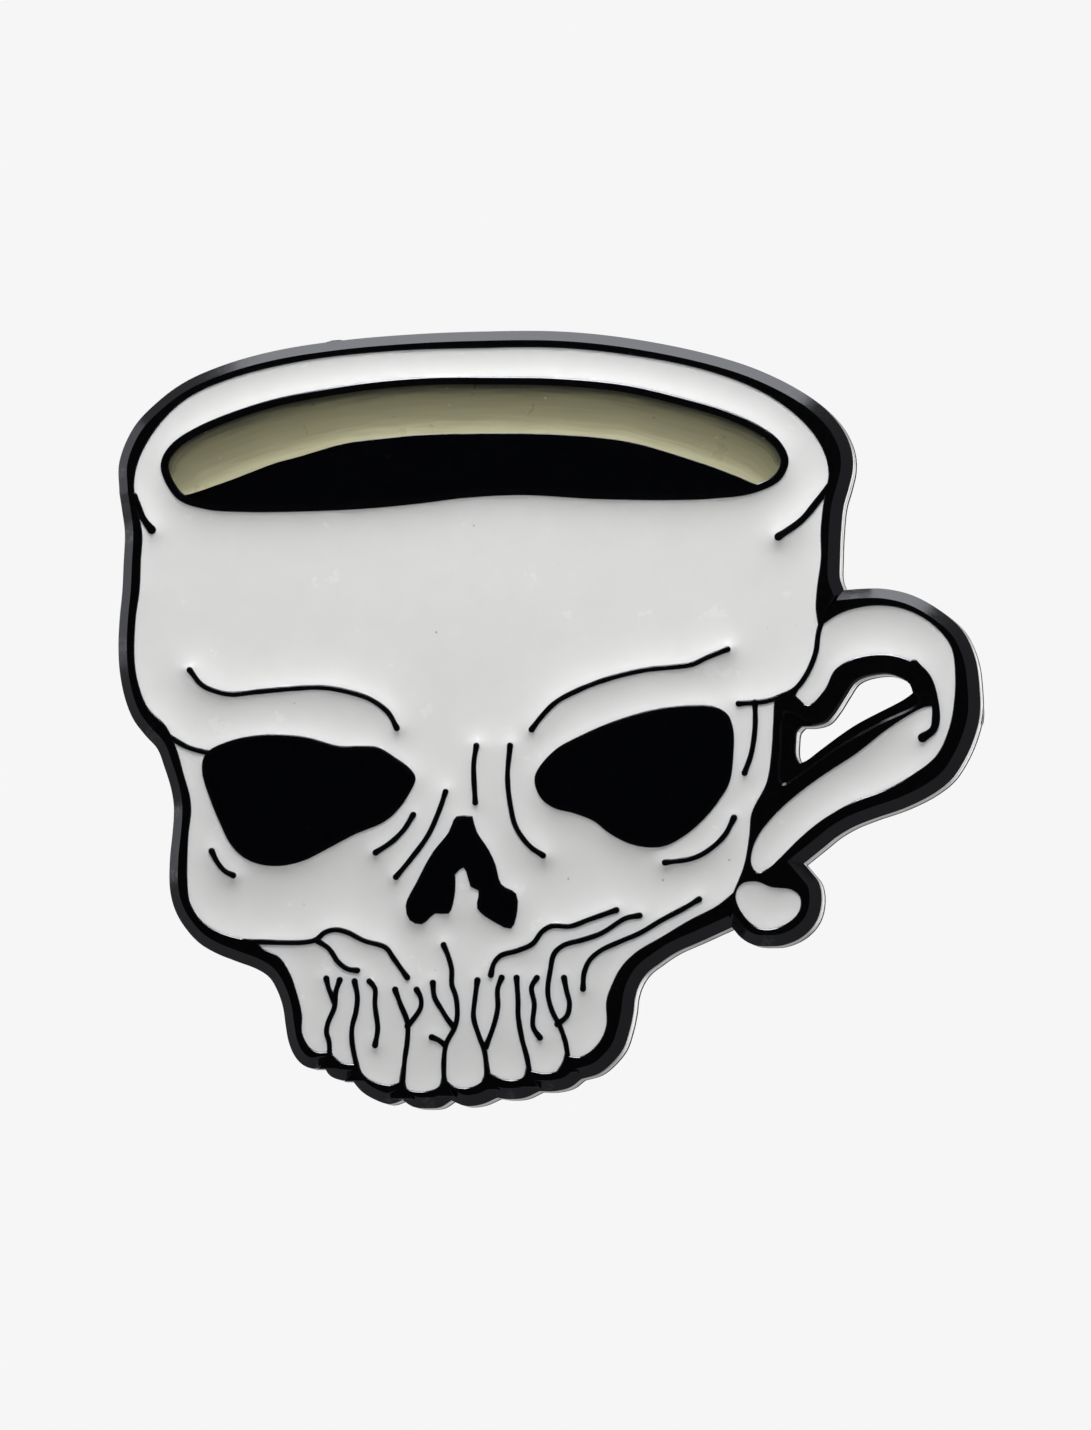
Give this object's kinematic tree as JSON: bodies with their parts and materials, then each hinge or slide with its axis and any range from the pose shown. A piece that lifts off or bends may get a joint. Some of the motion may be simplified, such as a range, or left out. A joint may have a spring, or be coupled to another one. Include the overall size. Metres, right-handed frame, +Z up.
{
  "type": "enamel pin",
  "caption": "Soft enamel pin shaped as a skull coffee cup: a struck metal plate with raised lines and enamel fills, held on cloth by nail posts and sprung butterfly clutches.",
  "frame": {"origin": "on the plate's flat back, midway between the two posts", "axes": "+Z up as the pin is worn, +Y out of the flat back towards the wearer, so the face looks along -Y, and +X towards the cup's handle"},
  "size_m": [0.0318, 0.0099, 0.0285],
  "materials": {
    "black_nickel": "polished black nickel plating, worn to silver on the trimmed edge",
    "white_enamel": "cured soft enamel, smooth, with a rim where it climbs the metal lines",
    "sage_enamel": "cured soft enamel, slightly rippled",
    "black_enamel": "cured soft enamel, glossy, nearly flush",
    "post_steel": "drawn wire, bright",
    "solder": "dull soft solder",
    "clutch_nickel": "nickel plated brass, stamped",
    "spring_nickel": "nickel plated spring brass"
  },
  "bodies": {
    "pin": {"struck_plate": "black_nickel", "skull_enamel": "white_enamel", "handle_enamel": "white_enamel", "foot_curl_enamel": "white_enamel", "sage_enamel": "sage_enamel", "coffee_enamel": "black_enamel", "left_eye_enamel": "black_enamel", "right_eye_enamel": "black_enamel", "nose_enamel": "black_enamel", "left_post": "post_steel", "right_post": "post_steel", "left_solder": "solder", "right_solder": "solder"},
    "left_clutch": {"left_clutch_disc": "clutch_nickel"},
    "left_clutch_top": {"left_clutch_cover": "clutch_nickel"},
    "left_wing_inner": {"left_clutch_wing_inner": "spring_nickel"},
    "left_wing_outer": {"left_clutch_wing_outer": "spring_nickel"},
    "right_clutch": {"right_clutch_disc": "clutch_nickel"},
    "right_clutch_top": {"right_clutch_cover": "clutch_nickel"},
    "right_wing_inner": {"right_clutch_wing_inner": "spring_nickel"},
    "right_wing_outer": {"right_clutch_wing_outer": "spring_nickel"}
  },
  "joints": [
    {"name": "left_clutch_slide", "type": "slide", "parent": "pin", "child": "left_clutch", "axis": [0, 1, 0], "range_m": [-0.002, 0.0081]},
    {"name": "left_clutch_turn", "type": "hinge", "parent": "left_clutch", "child": "left_clutch_top", "pos_m": [-0.0065, 0, 0], "axis": [0, 1, 0], "continuous": true},
    {"name": "left_wing_outer_squeeze", "type": "hinge", "parent": "left_clutch_top", "child": "left_wing_outer", "pos_m": [-0.0082, 0.0047, 0], "axis": [0, 0, -1], "range_deg": [0, 12], "stiffness_Nm_per_rad": 0.01},
    {"name": "left_wing_inner_squeeze", "type": "hinge", "parent": "left_clutch_top", "child": "left_wing_inner", "pos_m": [-0.0048, 0.0047, 0], "axis": [0, 0, 1], "range_deg": [0, 12], "stiffness_Nm_per_rad": 0.01},
    {"name": "right_clutch_slide", "type": "slide", "parent": "pin", "child": "right_clutch", "axis": [0, 1, 0], "range_m": [-0.002, 0.0081]},
    {"name": "right_clutch_turn", "type": "hinge", "parent": "right_clutch", "child": "right_clutch_top", "pos_m": [0.0065, 0, 0], "axis": [0, 1, 0], "continuous": true},
    {"name": "right_wing_outer_squeeze", "type": "hinge", "parent": "right_clutch_top", "child": "right_wing_outer", "pos_m": [0.0082, 0.0047, 0], "axis": [0, 0, 1], "range_deg": [0, 12], "stiffness_Nm_per_rad": 0.01},
    {"name": "right_wing_inner_squeeze", "type": "hinge", "parent": "right_clutch_top", "child": "right_wing_inner", "pos_m": [0.0048, 0.0047, 0], "axis": [0, 0, -1], "range_deg": [0, 12], "stiffness_Nm_per_rad": 0.01}
  ],
  "couplings": [
    {"joint": "left_wing_inner_squeeze", "follows": "left_wing_outer_squeeze", "ratio": 1},
    {"joint": "right_wing_inner_squeeze", "follows": "right_wing_outer_squeeze", "ratio": 1}
  ]
}
